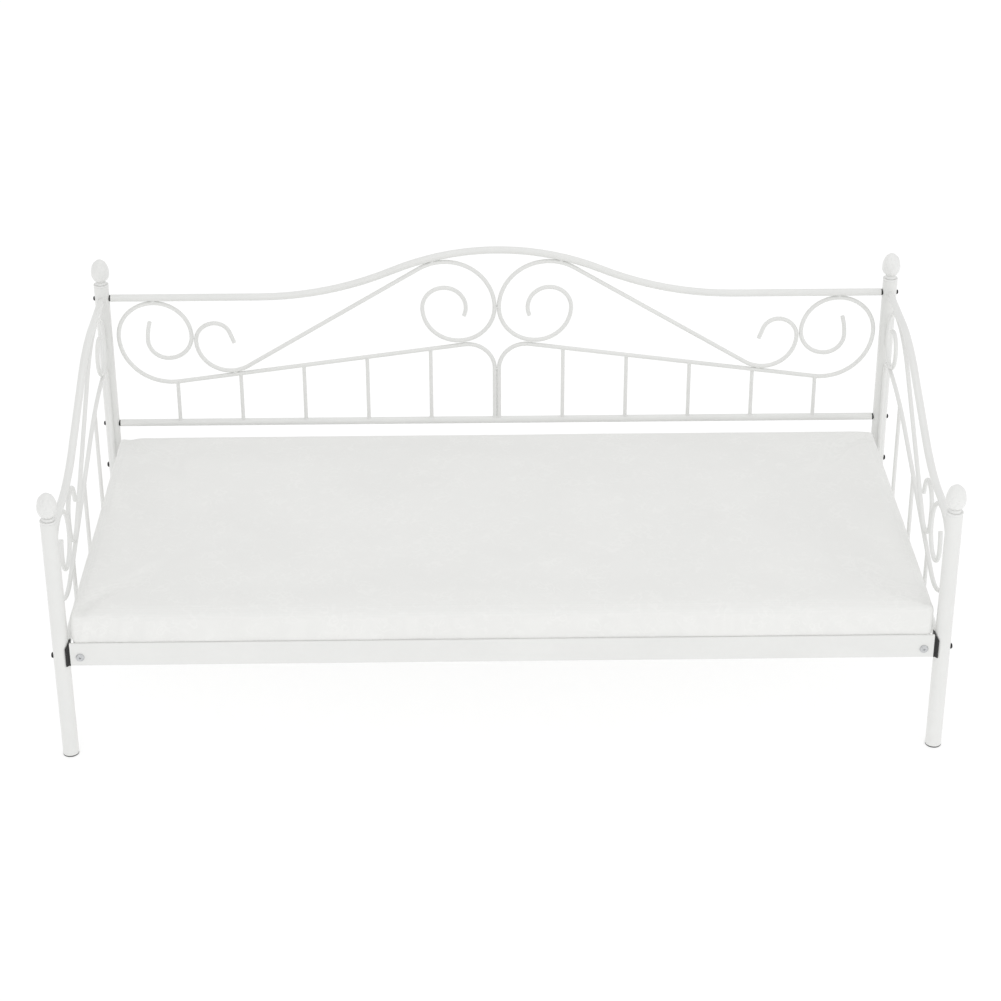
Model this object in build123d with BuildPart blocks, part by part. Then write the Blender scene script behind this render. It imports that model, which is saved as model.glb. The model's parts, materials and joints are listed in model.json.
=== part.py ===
"""Steel daybed with scrollwork back and sides, finials, slatted deck and one single mattress.

Millimetres. X runs along the bed, the open front is towards -Y, and Z is up. The origin lies on
the floor under the middle of the bed. Corner pieces are made for the front left corner and
mirrored into the other three.
"""

from build123d import *
import os
from math import asin, atan2, cos, degrees, hypot, radians, sin, sqrt, tan

# Posts: tubes at the four corners
POST_X = 1029
POST_Y = 474
POST_RADIUS = 19
POST_WALL = 1.5
FRONT_POST_TOP = 630
REAR_POST_TOP = 800
FOOT_RIM = 4
FOOT_PLUG_WALL = 3
FOOT_PLUG_LENGTH = 20
CAP_RIM = 5
CAP_RADIUS = 19.4
PUSH_FIT = 0.1
PLUG_RADIUS = POST_RADIUS - POST_WALL - PUSH_FIT
CAP_PLUG_LENGTH = 16
FINIAL_HEIGHT = 70
FINIAL_RADIUS = 24
FINIAL_NECK = 13.5
FINIAL_FOOT = 15
FINIAL_HOLE_DEPTH = 20
STUD_IN_CAP = 14
STUD_IN_FINIAL = 19

# Tubes and wires of the back and side panels
TUBE_RADIUS = 9.5
TUBE_WALL = 1.2
WIRE_RADIUS = 5.5
BAR_RADIUS = 5
WELD_GAP = 0.2
SPACER_LENGTH = 9
SPACER_RADIUS = 8.3
INSERT_LENGTH = 20

BACK_TOP_LEVEL = 764.5
BACK_HUMP_RISE = 127.5
BACK_HUMP_RUN = 620
BACK_HUMP_RADIUS = 690
BACK_LOWER_LEVEL = 400
BACK_BAR_FIRST = 175
BACK_BAR_PITCH = 168
BACK_BAR_COUNT = 5

SIDE_FRONT_LEVEL = 588
SIDE_REAR_LEVEL = 764
SIDE_LOWER_LEVEL = 262
SIDE_BEND_RADIUS = 450
SIDE_BEND_ANGLE = 24.5
SIDE_BEND_MIDDLE = -14
SIDE_BARS = (-234, -6, 222)

# Deck: bolted rails, ledges and slats
RAIL_FACE = 486
RAIL_HALF_LENGTH = 1007
RAIL_BOTTOM = 252
RAIL_HEIGHT = 60
RAIL_SHEET = 2
RAIL_HEM = 8
RAIL_RETURN = 20
LEDGE_TOP = 276
LEDGE_WIDTH = 25
LEDGE_HALF_LENGTH = 950
SLAT_COUNT = 13
SLAT_PITCH = 150
SLAT_WIDTH = 40
SLAT_HEIGHT = 20
SLAT_WALL = 1
SLAT_PLUG_RIM = 2
SLAT_PLUG_LENGTH = 15
SLAT_CORNER = 3
SLAT_HALF_LENGTH = 482

# Corner joint: saddle, bracket and bolts
SADDLE_WRAP = 50
SADDLE_WALL = 2.5
SADDLE_BACK = 22
SADDLE_SLANT = 12
SADDLE_SLANT_RUN = 8
BRACKET_SHEET = 3
BRACKET_BOTTOM = 258
BRACKET_TOP = 292
BRACKET_LEG = 42
BRACKET_WIDTH = 28
DECK_BOLT_LEVEL = 275
DECK_BOLT_RADIUS = 4
RAIL_BOLT_X = 984
PANEL_BOLT_RADIUS = 3
BOLT_CLEARANCE = 0.25
THREAD_CLEARANCE = 0.05
POST_BOLT_HEAD = (7, 4.5)
RAIL_BOLT_HEAD = (10, 3.5)
PANEL_BOLT_HEAD = (6, 4)
POST_BOLT_LENGTH = 53
RAIL_BOLT_LENGTH = 14
PANEL_BOLT_LENGTH = 56
NUT_FLATS = 13
NUT_HEIGHT = 6.5

# Mattress: a standard single
MATTRESS_LENGTH = 2000
MATTRESS_DEPTH = 900
MATTRESS_FRONT = -480
MATTRESS_BOTTOM = 296.3
MATTRESS_THICKNESS = 98
COVER_THICKNESS = 4
MATTRESS_CORNER = 14
MATTRESS_TOP_EDGE = 12
MATTRESS_BOTTOM_EDGE = 8

os.makedirs("parts", exist_ok=True)


def save(piece, label):
    """Label a finished piece and write it."""
    piece.part.label = label
    export_step(piece.part, f"parts/{label}.step")


def mirrored(piece, plane):
    """The piece's mirror image in a plane through the origin."""
    with BuildPart() as twin:
        mirror(piece.part, about=plane)
    return twin


def save_corners(piece, name):
    """Write a front left corner piece and its three mirror images."""
    front_right = mirrored(piece, Plane.YZ)
    save(piece, f"{name}_front_left")
    save(front_right, f"{name}_front_right")
    save(mirrored(piece, Plane.XZ), f"{name}_rear_left")
    save(mirrored(front_right, Plane.XZ), f"{name}_rear_right")


def save_pair(piece, name):
    """Write a left-hand piece and its mirror image on the right."""
    save(piece, f"{name}_left")
    save(mirrored(piece, Plane.YZ), f"{name}_right")


# ---------------------------------------------------------------- posts, feet, caps, finials


def make_post(side_y, top, panel_bolt_levels):
    """A left-hand post tube from its foot to its cap, drilled through for its bolts."""
    with BuildPart() as post:
        with BuildSketch(Plane.XY.offset(FOOT_RIM)):
            with Locations((-POST_X, side_y * POST_Y)):
                Circle(POST_RADIUS)
                Circle(POST_RADIUS - POST_WALL, mode=Mode.SUBTRACT)
        extrude(amount=top - FOOT_RIM)
        with BuildSketch(Plane.YZ.offset(-POST_X)):
            with Locations((side_y * POST_Y, DECK_BOLT_LEVEL)):
                Circle(DECK_BOLT_RADIUS + BOLT_CLEARANCE)
            for level in panel_bolt_levels:
                with Locations((side_y * POST_Y, level)):
                    Circle(PANEL_BOLT_RADIUS + BOLT_CLEARANCE)
        extrude(amount=2 * POST_RADIUS, both=True, mode=Mode.SUBTRACT)
    return post


def make_foot():
    """A glide pressed into the bottom of a post, with a rim that the tube stands on."""
    with BuildPart() as foot:
        with BuildSketch():
            with Locations((-POST_X, -POST_Y)):
                Circle(POST_RADIUS)
        extrude(amount=FOOT_RIM)
        chamfer(foot.edges().sort_by(Axis.Z)[0], 1)
        with BuildSketch(Plane.XY.offset(FOOT_RIM)):
            with Locations((-POST_X, -POST_Y)):
                Circle(PLUG_RADIUS)
                Circle(PLUG_RADIUS - FOOT_PLUG_WALL, mode=Mode.SUBTRACT)
        extrude(amount=FOOT_PLUG_LENGTH)
    return foot


def make_cap(side_y, top):
    """The collar on a post: a rim on the tube's end, a plug inside it and a hole for the stud."""
    with BuildPart() as cap:
        with BuildSketch(Plane.XY.offset(top)):
            with Locations((-POST_X, side_y * POST_Y)):
                Circle(CAP_RADIUS)
        extrude(amount=CAP_RIM)
        fillet(cap.edges().filter_by(GeomType.CIRCLE), 1.2)
        with BuildSketch(Plane.XY.offset(top)):
            with Locations((-POST_X, side_y * POST_Y)):
                Circle(PLUG_RADIUS)
        extrude(amount=-CAP_PLUG_LENGTH)
        with BuildSketch(Plane.XY.offset(top - CAP_PLUG_LENGTH)):
            with Locations((-POST_X, side_y * POST_Y)):
                Circle(DECK_BOLT_RADIUS + THREAD_CLEARANCE)
        extrude(amount=CAP_PLUG_LENGTH + CAP_RIM, mode=Mode.SUBTRACT)
    return cap


def make_finial(side_y, top):
    """An egg on a short neck, turned round the post's axis, with a blind hole for its stud."""
    base = top + CAP_RIM
    hole = DECK_BOLT_RADIUS + THREAD_CLEARANCE
    axis_plane = Plane((-POST_X, side_y * POST_Y, base), x_dir=(1, 0, 0), z_dir=(0, -1, 0))
    with BuildPart() as finial:
        with BuildSketch(axis_plane):
            with BuildLine():
                Polyline(
                    (0, FINIAL_HOLE_DEPTH),
                    (hole, FINIAL_HOLE_DEPTH),
                    (hole, 0),
                    (FINIAL_FOOT, 0),
                    (FINIAL_FOOT, 2),
                    (FINIAL_NECK, 3.5),
                    (FINIAL_NECK, 6),
                )
                Spline(
                    (FINIAL_NECK, 6),
                    (FINIAL_RADIUS, 30),
                    (FINIAL_RADIUS * 0.82, 50),
                    (0, FINIAL_HEIGHT),
                    tangents=((0.8, 0.6), (-1, 0)),
                )
                Line((0, FINIAL_HEIGHT), (0, FINIAL_HOLE_DEPTH))
            make_face()
        revolve(axis=Axis(axis_plane.origin, (0, 0, 1)))
    return finial


def make_posts():
    """Posts, feet, caps and finials at the four corners, and the finials' studs."""
    save_corners(make_foot(), "foot")
    ends = (
        ("front", -1, FRONT_POST_TOP, ()),
        ("rear", 1, REAR_POST_TOP, (BACK_LOWER_LEVEL, BACK_TOP_LEVEL)),
    )
    for end, side_y, top, bolt_levels in ends:
        save_pair(make_post(side_y, top, bolt_levels), f"post_{end}")
        save_pair(make_cap(side_y, top), f"post_cap_{end}")
        save_pair(make_finial(side_y, top), f"finial_{end}")
    with BuildPart() as studs:
        for end, side_y, top, bolt_levels in ends:
            with BuildSketch(Plane.XY.offset(top - STUD_IN_CAP)):
                with Locations((-POST_X, side_y * POST_Y), (POST_X, side_y * POST_Y)):
                    Circle(DECK_BOLT_RADIUS)
            extrude(amount=STUD_IN_CAP + CAP_RIM + STUD_IN_FINIAL)
    save(studs, "finial_studs")


# ---------------------------------------------------------------- panel outlines


BACK = Plane((0, POST_Y, 0), x_dir=(1, 0, 0), z_dir=(0, -1, 0))
LEFT_SIDE = Plane((-POST_X, 0, 0), x_dir=(0, 1, 0), z_dir=(1, 0, 0))


def cross_tangent(low_centre, low_radius, high_centre, high_radius):
    """Angle of the line that rises under one circle's right side and over the other's left."""
    run = high_centre[0] - low_centre[0]
    rise = high_centre[1] - low_centre[1]
    lean = asin((low_radius + high_radius) / hypot(run, rise))
    return degrees(atan2(rise, run) + lean)


class OuterScroll:
    """Centre line of the wire that curls beside a post, climbs to a crest and drops to a tube.

    The curl is a nearly straight tail, a tight arc and three arcs with their centres at one
    height, each wider than the last. The crest is one arc up to its top and one down to the
    vertical.
    """

    def __init__(self, left, right, height, inmost, tail, tail_turn, inner, outer,
                 crest, crest_radius, drop_radius, foot):
        self.left = left
        self.right = right
        self.height = height
        self.inmost = inmost
        self.tail = tail
        self.tail_turn = tail_turn
        self.inner = inner
        self.middle = (right - left) / 2
        self.outer = outer
        self.crest = crest
        self.crest_radius = crest_radius
        self.drop_radius = drop_radius
        self.foot = foot
        self.low_centre = (left + outer, height)
        self.crest_centre = (crest[0], crest[1] - crest_radius)
        self.slope = cross_tangent(self.low_centre, outer, self.crest_centre, crest_radius)
        turn = radians(self.slope)
        self.rise_from = (
            self.low_centre[0] + outer * sin(turn),
            height - outer * cos(turn),
        )
        self.rise_to = (
            self.crest_centre[0] - crest_radius * sin(turn),
            self.crest_centre[1] + crest_radius * cos(turn),
        )

    def level(self, place):
        """Height of the centre line above a place under the slope."""
        if place < self.rise_from[0]:
            return self.height - sqrt(self.outer**2 - (place - self.low_centre[0]) ** 2)
        if place < self.rise_to[0]:
            return self.rise_from[1] + (place - self.rise_from[0]) * tan(radians(self.slope))
        arch = self.crest_radius**2 - (place - self.crest_centre[0]) ** 2
        return self.crest_centre[1] + sqrt(arch)

    def draw(self):
        """Draw the centre line, from the curl's inner end to the foot."""
        curl = self.right - self.inner
        inmost = self.height - self.inner + self.inmost
        tail_centre = (curl - self.inmost + self.tail, inmost)
        CenterArc(tail_centre, self.tail, 180 - self.tail_turn, self.tail_turn)
        CenterArc((curl, inmost), self.inmost, 180, 90)
        CenterArc((curl, self.height), self.inner, 270, 90)
        CenterArc((self.left + self.middle, self.height), self.middle, 0, 180)
        CenterArc(self.low_centre, self.outer, 180, 90 + self.slope)
        Line(self.rise_from, self.rise_to)
        CenterArc(self.crest_centre, self.crest_radius, 90 + self.slope, -self.slope)
        drop_centre = (self.crest[0], self.crest[1] - self.drop_radius)
        CenterArc(drop_centre, self.drop_radius, 90, -90)
        corner = (drop_centre[0] + self.drop_radius, drop_centre[1])
        Line(corner, (corner[0], self.foot))


class InnerScroll:
    """Centre line of the wire with a hook, a diagonal and a ring.

    The hook's lower arc just touches the outer scroll's slope. The ring is a shoulder, three
    arcs that tighten, and an open end.
    """

    def __init__(self, outer, hook_height, low_height, shoulder_top, shoulder_radius,
                 ring_right, ring_height, ring_bottom, curl, curl_end):
        self.left = outer.right + 2 * WIRE_RADIUS + WELD_GAP
        self.hook_height = hook_height
        self.low_height = low_height
        self.hook_radius = 50
        self.hook_end_radius = 42
        self.hook_end_turn = 20
        self.hook_tail = 30
        turn = radians(outer.slope)
        room = (low_height - outer.level(self.left)) * cos(turn) - 2 * WIRE_RADIUS - WELD_GAP
        self.low_radius = room / (1 + sin(turn))
        self.shoulder_radius = shoulder_radius
        self.ring_right = ring_right
        self.ring_height = ring_height
        self.ring_radius = shoulder_top - ring_height
        self.under_radius = ring_height - ring_bottom
        self.curl = curl
        self.curl_end = curl_end
        self.low_centre = (self.left + self.low_radius, low_height)
        self.shoulder_centre = (ring_right - self.ring_radius, shoulder_top - shoulder_radius)
        self.slope = cross_tangent(
            self.low_centre, self.low_radius, self.shoulder_centre, shoulder_radius
        )

    def draw(self):
        """Draw the centre line, from the hook's end to the ring's inner end."""
        turn = radians(self.slope)
        top = (self.left + self.hook_radius, self.hook_height)
        end_centre = (top[0], top[1] + self.hook_radius - self.hook_end_radius)
        bend = radians(self.hook_end_turn)
        bend_end = (
            end_centre[0] + self.hook_end_radius * cos(bend),
            end_centre[1] + self.hook_end_radius * sin(bend),
        )
        tip = (
            bend_end[0] + self.hook_tail * sin(bend),
            bend_end[1] - self.hook_tail * cos(bend),
        )
        Line(tip, bend_end)
        CenterArc(end_centre, self.hook_end_radius, self.hook_end_turn, 90 - self.hook_end_turn)
        CenterArc(top, self.hook_radius, 90, 90)
        if self.hook_height > self.low_height:
            Line((self.left, self.hook_height), (self.left, self.low_height))
        CenterArc(self.low_centre, self.low_radius, 180, 90 + self.slope)
        Line(
            (
                self.low_centre[0] + self.low_radius * sin(turn),
                self.low_centre[1] - self.low_radius * cos(turn),
            ),
            (
                self.shoulder_centre[0] - self.shoulder_radius * sin(turn),
                self.shoulder_centre[1] + self.shoulder_radius * cos(turn),
            ),
        )
        CenterArc(self.shoulder_centre, self.shoulder_radius, 90 + self.slope, -self.slope)
        ring_centre = (self.ring_right - self.ring_radius, self.ring_height)
        CenterArc(ring_centre, self.ring_radius, 90, -90)
        under_centre = (self.ring_right - self.under_radius, self.ring_height)
        CenterArc(under_centre, self.under_radius, 0, -180)
        curl_centre = (under_centre[0] - self.under_radius + self.curl, self.ring_height)
        CenterArc(curl_centre, self.curl, 180, self.curl_end - 180)


def hump_angle():
    """Steepest slope of the back's top rail, between its two arcs."""
    return 2 * atan2(BACK_HUMP_RISE, BACK_HUMP_RUN)


def draw_back_top_rail():
    """Level from the post, an arc up, an arc over the hump, and the same down again."""
    turn = hump_angle()
    foot_radius = BACK_HUMP_RUN / sin(turn) - BACK_HUMP_RADIUS
    steep = degrees(turn)
    crest_centre = (0, BACK_TOP_LEVEL + BACK_HUMP_RISE - BACK_HUMP_RADIUS)
    Line((-RAIL_HALF_LENGTH, BACK_TOP_LEVEL), (-BACK_HUMP_RUN, BACK_TOP_LEVEL))
    CenterArc((-BACK_HUMP_RUN, BACK_TOP_LEVEL + foot_radius), foot_radius, -90, steep)
    CenterArc(crest_centre, BACK_HUMP_RADIUS, 90 + steep, -2 * steep)
    CenterArc((BACK_HUMP_RUN, BACK_TOP_LEVEL + foot_radius), foot_radius, -90 - steep, steep)
    Line((BACK_HUMP_RUN, BACK_TOP_LEVEL), (RAIL_HALF_LENGTH, BACK_TOP_LEVEL))


def draw_side_top_tube():
    """Level from the front post, an arc up, a straight climb, an arc over, level to the rear."""
    turn = radians(SIDE_BEND_ANGLE)
    arc_rise = SIDE_BEND_RADIUS * (1 - cos(turn))
    straight_rise = SIDE_REAR_LEVEL - SIDE_FRONT_LEVEL - 2 * arc_rise
    half_run = SIDE_BEND_RADIUS * sin(turn) + straight_rise / tan(turn) / 2
    start = SIDE_BEND_MIDDLE - half_run
    end = SIDE_BEND_MIDDLE + half_run
    arc_run = SIDE_BEND_RADIUS * sin(turn)
    Line((-POST_Y, SIDE_FRONT_LEVEL), (start, SIDE_FRONT_LEVEL))
    CenterArc(
        (start, SIDE_FRONT_LEVEL + SIDE_BEND_RADIUS), SIDE_BEND_RADIUS, -90, SIDE_BEND_ANGLE
    )
    Line(
        (start + arc_run, SIDE_FRONT_LEVEL + arc_rise),
        (end - arc_run, SIDE_REAR_LEVEL - arc_rise),
    )
    CenterArc(
        (end, SIDE_REAR_LEVEL - SIDE_BEND_RADIUS),
        SIDE_BEND_RADIUS,
        90 + SIDE_BEND_ANGLE,
        -SIDE_BEND_ANGLE,
    )
    Line((end, SIDE_REAR_LEVEL), (POST_Y, SIDE_REAR_LEVEL))


TOUCH = TUBE_RADIUS + WIRE_RADIUS + WELD_GAP

back_outer_line = OuterScroll(
    left=-994,
    right=-803,
    height=BACK_TOP_LEVEL - TOUCH - 95.5,
    inmost=52,
    tail=180,
    tail_turn=17,
    inner=63,
    outer=133,
    crest=(-WIRE_RADIUS - WELD_GAP - 71, 623.5),
    crest_radius=71,
    drop_radius=71,
    foot=BACK_LOWER_LEVEL,
)
back_inner_line = InnerScroll(
    back_outer_line,
    hook_height=640,
    low_height=640,
    shoulder_top=859.4,
    shoulder_radius=130,
    ring_right=-WIRE_RADIUS - WELD_GAP,
    ring_height=729.4,
    ring_bottom=623.5 + 2 * WIRE_RADIUS + WELD_GAP,
    curl=57,
    curl_end=-24,
)
side_outer_line = OuterScroll(
    left=-447,
    right=-250,
    height=SIDE_FRONT_LEVEL - TOUCH - 98.5,
    inmost=50,
    tail=160,
    tail_turn=17,
    inner=58,
    outer=114,
    crest=(411, 580),
    crest_radius=760,
    drop_radius=38,
    foot=SIDE_LOWER_LEVEL,
)
side_inner_line = InnerScroll(
    side_outer_line,
    hook_height=507,
    low_height=480,
    shoulder_top=SIDE_REAR_LEVEL - TOUCH,
    shoulder_radius=300,
    ring_right=449,
    ring_height=652,
    ring_bottom=580 + 2 * WIRE_RADIUS + WELD_GAP,
    curl=42,
    curl_end=45,
)


# ---------------------------------------------------------------- back and side panels


def bend_round_bar(plane, draw, radius, wall=0.0):
    """Sweep a round section along a centre line, leaving a hollow if a wall is given."""
    with BuildPart() as bar:
        with BuildLine(plane) as centre_line:
            draw()
        start = centre_line.wire()
        with BuildSketch(Plane(start @ 0, z_dir=start % 0)):
            Circle(radius)
            if wall:
                Circle(radius - wall, mode=Mode.SUBTRACT)
        sweep(path=start)
    return bar


def cope_to_posts(piece):
    """Cut a side tube's ends to the two posts' round faces."""
    with BuildPart() as coped:
        add(piece.part)
        with BuildSketch():
            with Locations((-POST_X, -POST_Y), (-POST_X, POST_Y)):
                Circle(POST_RADIUS)
        extrude(amount=REAR_POST_TOP, mode=Mode.SUBTRACT)
    return coped


def cope_to_tube(piece, plane, level):
    """Cut a piece's foot to the round top of a straight tube that lies along the panel."""
    with BuildPart() as coped:
        add(piece.part)
        across = Plane(plane.from_local_coords((0, level, 0)), z_dir=plane.x_dir)
        with BuildSketch(across):
            Circle(TUBE_RADIUS)
        extrude(amount=RAIL_HALF_LENGTH, both=True, mode=Mode.SUBTRACT)
    return coped


def make_bars(plane, places, outer_line, outer_scroll, foot_level):
    """Upright bars from a lower tube to the outer scroll's slope, fitted to both."""
    with BuildPart() as bars:
        for place in places:
            foot = plane.from_local_coords((place, foot_level, 0))
            with BuildSketch(Plane(foot)):
                Circle(BAR_RADIUS)
            extrude(amount=outer_line.level(place) - foot_level)
        add(outer_scroll.part, mode=Mode.SUBTRACT)
    return cope_to_tube(bars, plane, foot_level)


def make_back_panel():
    """Top rail, lower rail, scrolls and bars, and the fittings in the rails' ends."""
    save(bend_round_bar(BACK, draw_back_top_rail, TUBE_RADIUS, TUBE_WALL), "back_top_rail")
    with BuildPart() as lower_rail:
        with BuildSketch(Plane.YZ):
            with Locations((POST_Y, BACK_LOWER_LEVEL)):
                Circle(TUBE_RADIUS)
                Circle(TUBE_RADIUS - TUBE_WALL, mode=Mode.SUBTRACT)
        extrude(amount=RAIL_HALF_LENGTH, both=True)
    save(lower_rail, "back_lower_rail")
    outer = bend_round_bar(BACK, back_outer_line.draw, WIRE_RADIUS)
    outer = cope_to_tube(outer, BACK, BACK_LOWER_LEVEL)
    save_pair(outer, "back_outer_scroll")
    save_pair(bend_round_bar(BACK, back_inner_line.draw, WIRE_RADIUS), "back_inner_scroll")
    places = [-BACK_BAR_FIRST - BACK_BAR_PITCH * step for step in range(BACK_BAR_COUNT)]
    save_pair(make_bars(BACK, places, back_outer_line, outer, BACK_LOWER_LEVEL), "back_bars")
    make_back_rail_ends()


def make_back_rail_ends():
    """Hollow spacers between the rails' ends and the posts, and threaded plugs in the ends."""
    with BuildPart() as spacers:
        for side_x in (-1, 1):
            for level in (BACK_LOWER_LEVEL, BACK_TOP_LEVEL):
                end = Plane((side_x * RAIL_HALF_LENGTH, POST_Y, level), z_dir=(side_x, 0, 0))
                with BuildSketch(end):
                    Circle(SPACER_RADIUS)
                    Circle(PANEL_BOLT_RADIUS + BOLT_CLEARANCE, mode=Mode.SUBTRACT)
                extrude(amount=SPACER_LENGTH)
        with BuildSketch():
            with Locations((-POST_X, POST_Y), (POST_X, POST_Y)):
                Circle(POST_RADIUS)
        extrude(amount=REAR_POST_TOP, mode=Mode.SUBTRACT)
    save(spacers, "back_rail_spacers")
    with BuildPart() as inserts:
        for side_x in (-1, 1):
            for level in (BACK_LOWER_LEVEL, BACK_TOP_LEVEL):
                end = Plane((side_x * RAIL_HALF_LENGTH, POST_Y, level), z_dir=(side_x, 0, 0))
                with BuildSketch(end):
                    Circle(TUBE_RADIUS - TUBE_WALL - THREAD_CLEARANCE)
                    Circle(PANEL_BOLT_RADIUS + THREAD_CLEARANCE, mode=Mode.SUBTRACT)
                extrude(amount=-INSERT_LENGTH)
    save(inserts, "back_rail_inserts")


def make_side_panels():
    """Top tube, lower tube, scrolls and bars of the left side, mirrored to the right."""
    top = bend_round_bar(LEFT_SIDE, draw_side_top_tube, TUBE_RADIUS, TUBE_WALL)
    save_pair(cope_to_posts(top), "side_top_tube")
    with BuildPart() as lower_tube:
        with BuildSketch(Plane.XZ):
            with Locations((-POST_X, SIDE_LOWER_LEVEL)):
                Circle(TUBE_RADIUS)
                Circle(TUBE_RADIUS - TUBE_WALL, mode=Mode.SUBTRACT)
        extrude(amount=POST_Y, both=True)
    save_pair(cope_to_posts(lower_tube), "side_lower_tube")
    outer = bend_round_bar(LEFT_SIDE, side_outer_line.draw, WIRE_RADIUS)
    outer = cope_to_tube(outer, LEFT_SIDE, SIDE_LOWER_LEVEL)
    save_pair(outer, "side_outer_scroll")
    save_pair(bend_round_bar(LEFT_SIDE, side_inner_line.draw, WIRE_RADIUS), "side_inner_scroll")
    bars = make_bars(LEFT_SIDE, SIDE_BARS, side_outer_line, outer, SIDE_LOWER_LEVEL)
    save_pair(bars, "side_bars")


# ---------------------------------------------------------------- deck


def make_front_rail():
    """A folded steel rail: a tall web, a hem along its top and a return along its bottom."""
    face = -RAIL_FACE
    inside = face + RAIL_SHEET
    top = RAIL_BOTTOM + RAIL_HEIGHT
    with BuildPart() as rail:
        with BuildSketch(Plane.YZ):
            with BuildLine():
                Polyline(
                    (face, RAIL_BOTTOM),
                    (face + RAIL_RETURN, RAIL_BOTTOM),
                    (face + RAIL_RETURN, RAIL_BOTTOM + RAIL_SHEET),
                    (inside, RAIL_BOTTOM + RAIL_SHEET),
                    (inside, top - RAIL_HEM),
                    (inside + RAIL_SHEET, top - RAIL_HEM),
                    (inside + RAIL_SHEET, top),
                    (face, top),
                    close=True,
                )
            make_face()
        extrude(amount=RAIL_HALF_LENGTH, both=True)
        outer_edges = rail.edges().filter_by(Axis.X).group_by(Axis.Y)[0]
        fillet(outer_edges, 1.5)
        with BuildSketch(Plane.XZ.offset(RAIL_FACE)):
            with Locations((-RAIL_BOLT_X, DECK_BOLT_LEVEL), (RAIL_BOLT_X, DECK_BOLT_LEVEL)):
                Circle(DECK_BOLT_RADIUS + BOLT_CLEARANCE)
        extrude(amount=-BRACKET_SHEET, mode=Mode.SUBTRACT)
    return rail


def make_front_ledge():
    """An angle welded inside the rail, whose flat top carries the slats' ends."""
    web = -RAIL_FACE + RAIL_SHEET
    with BuildPart() as ledge:
        with BuildSketch(Plane.YZ):
            with BuildLine():
                Polyline(
                    (web, LEDGE_TOP),
                    (web + LEDGE_WIDTH, LEDGE_TOP),
                    (web + LEDGE_WIDTH, LEDGE_TOP - RAIL_SHEET),
                    (web + RAIL_SHEET, LEDGE_TOP - RAIL_SHEET),
                    (web + RAIL_SHEET, RAIL_BOTTOM + RAIL_SHEET),
                    (web, RAIL_BOTTOM + RAIL_SHEET),
                    close=True,
                )
            make_face()
        extrude(amount=LEDGE_HALF_LENGTH, both=True)
    return ledge


def make_slats():
    """Rectangular tubes across the bed, resting on the two ledges, and the plugs in their ends."""
    across = Plane((0, 0, LEDGE_TOP + SLAT_HEIGHT / 2), x_dir=(1, 0, 0), z_dir=(0, -1, 0))
    tube_end = SLAT_HALF_LENGTH - SLAT_PLUG_RIM
    inner_width = SLAT_WIDTH - 2 * SLAT_WALL
    inner_height = SLAT_HEIGHT - 2 * SLAT_WALL
    inner_corner = SLAT_CORNER - SLAT_WALL
    fit = 2 * PUSH_FIT
    with BuildPart() as slats:
        with BuildSketch(across):
            with GridLocations(SLAT_PITCH, 0, SLAT_COUNT, 1):
                RectangleRounded(SLAT_WIDTH, SLAT_HEIGHT, SLAT_CORNER)
                RectangleRounded(inner_width, inner_height, inner_corner, mode=Mode.SUBTRACT)
        extrude(amount=tube_end, both=True)
    save(slats, "slats")
    with BuildPart() as plugs:
        with BuildSketch(across.offset(tube_end)):
            with GridLocations(SLAT_PITCH, 0, SLAT_COUNT, 1):
                RectangleRounded(SLAT_WIDTH, SLAT_HEIGHT, SLAT_CORNER)
        extrude(amount=SLAT_PLUG_RIM)
        with BuildSketch(across.offset(tube_end)):
            with GridLocations(SLAT_PITCH, 0, SLAT_COUNT, 1):
                RectangleRounded(inner_width - fit, inner_height - fit, inner_corner)
        extrude(amount=-SLAT_PLUG_LENGTH)
    save(plugs, "slat_plugs_front")
    save(mirrored(plugs, Plane.XZ), "slat_plugs_rear")


def make_saddle():
    """A spacer between a post and a rail's end: a shell round the post with a flat-backed block.

    It wraps the post's inner face, and its upper lip is cut away at a slant.
    """
    lip = -POST_X + POST_RADIUS * cos(radians(SADDLE_WRAP))
    back = -POST_X + SADDLE_BACK
    top = RAIL_BOTTOM + RAIL_HEIGHT
    half_depth = RAIL_FACE - POST_Y
    with BuildPart() as saddle:
        with BuildSketch(Plane.XY.offset(RAIL_BOTTOM)):
            with Locations((-POST_X, -POST_Y)):
                Circle(POST_RADIUS + SADDLE_WALL)
            with Locations(((lip + back) / 2, -POST_Y)):
                Rectangle(back - lip, 3 * POST_RADIUS, mode=Mode.INTERSECT)
                Rectangle(back - lip, 2 * half_depth)
            with Locations((-POST_X, -POST_Y)):
                Circle(POST_RADIUS, mode=Mode.SUBTRACT)
        extrude(amount=RAIL_HEIGHT)
        with BuildSketch(Plane.XZ.offset(POST_Y)):
            with BuildLine():
                Polyline(
                    (lip, top),
                    (lip, top - SADDLE_SLANT),
                    (lip + SADDLE_SLANT_RUN, top),
                    close=True,
                )
            make_face()
        extrude(amount=2 * POST_RADIUS, both=True, mode=Mode.SUBTRACT)
        with BuildSketch(Plane.YZ.offset(-POST_X)):
            with Locations((-POST_Y, DECK_BOLT_LEVEL)):
                Circle(DECK_BOLT_RADIUS + BOLT_CLEARANCE)
        extrude(amount=2 * SADDLE_BACK, mode=Mode.SUBTRACT)
    return saddle


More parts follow.
